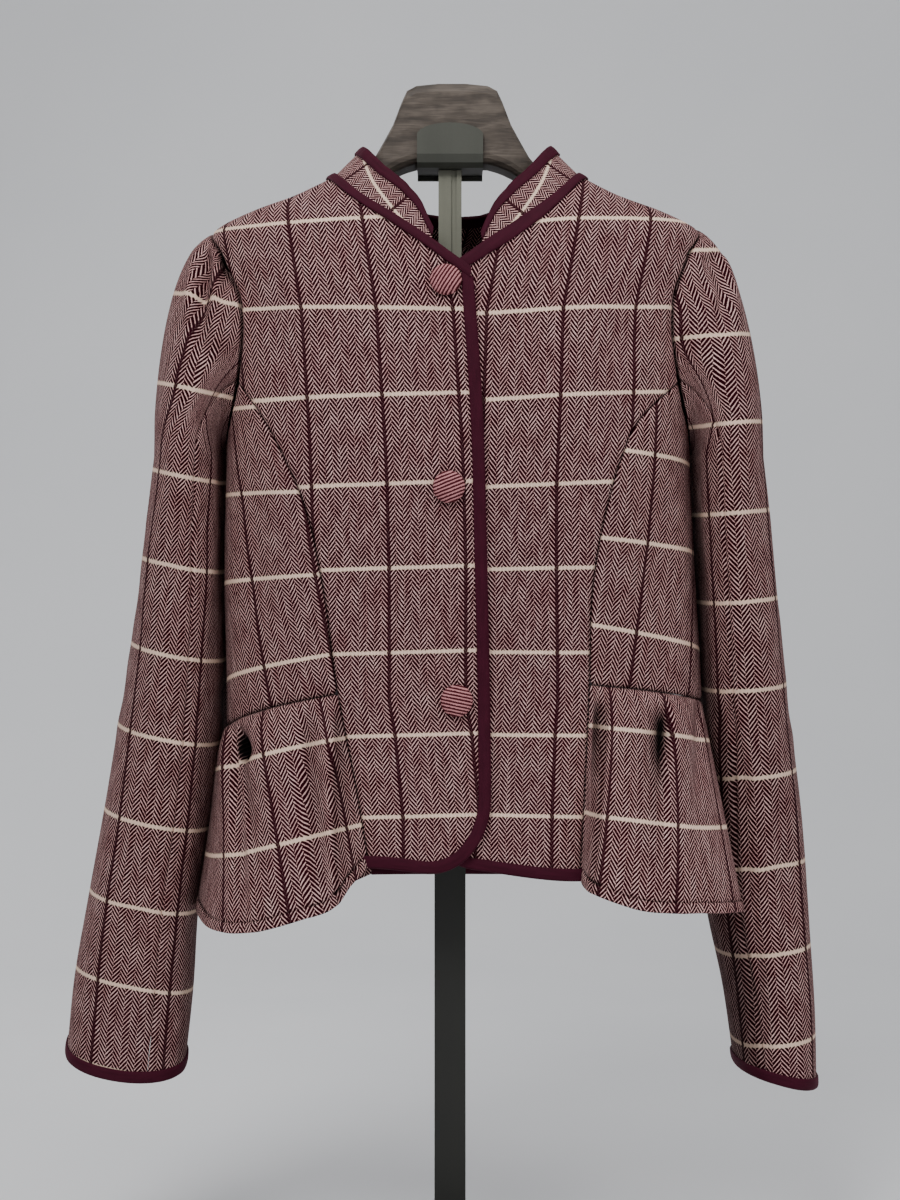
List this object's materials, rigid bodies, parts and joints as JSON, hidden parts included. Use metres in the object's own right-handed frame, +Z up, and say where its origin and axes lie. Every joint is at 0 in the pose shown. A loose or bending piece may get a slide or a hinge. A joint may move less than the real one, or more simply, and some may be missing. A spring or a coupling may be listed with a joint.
{
  "type": "checked jacket on a display stand",
  "caption": "Fitted herringbone jacket with a stand collar, princess seams, pleated side peplums and dark bindings, hung on a wooden hanger head on a metal post with a flat base.",
  "frame": {"origin": "the middle of the base's underside, on the floor", "axes": "+Z up along the post, +X to the wearer's left, +Y to the wearer's back, so the front faces -Y"},
  "size_m": [0.5693, 0.24, 0.8868],
  "materials": {
    "herringbone_tweed": "brushed wool weave",
    "binding_tape": "short velvet pile",
    "stained_wood": "dark stain, satin",
    "grey_metal": "satin grey",
    "black_metal": "satin black"
  },
  "bodies": {
    "root": {"front_right": "herringbone_tweed", "front_left": "herringbone_tweed", "side_right": "herringbone_tweed", "side_left": "herringbone_tweed", "back_right": "herringbone_tweed", "back_left": "herringbone_tweed", "peplum_right": "herringbone_tweed", "peplum_left": "herringbone_tweed", "top_sleeve_right": "herringbone_tweed", "under_sleeve_right": "herringbone_tweed", "top_sleeve_left": "herringbone_tweed", "under_sleeve_left": "herringbone_tweed", "collar": "herringbone_tweed", "button_1": "herringbone_tweed", "button_2": "herringbone_tweed", "button_3": "herringbone_tweed", "edge_binding_right": "binding_tape", "edge_binding_left": "binding_tape", "back_hem_binding_right": "binding_tape", "back_hem_binding_left": "binding_tape", "cuff_binding_right": "binding_tape", "cuff_binding_left": "binding_tape", "collar_binding": "binding_tape", "neck_binding": "binding_tape", "hanger": "stained_wood", "bracket": "grey_metal", "rod": "grey_metal", "post": "black_metal", "base": "black_metal"}
  },
  "joints": []
}
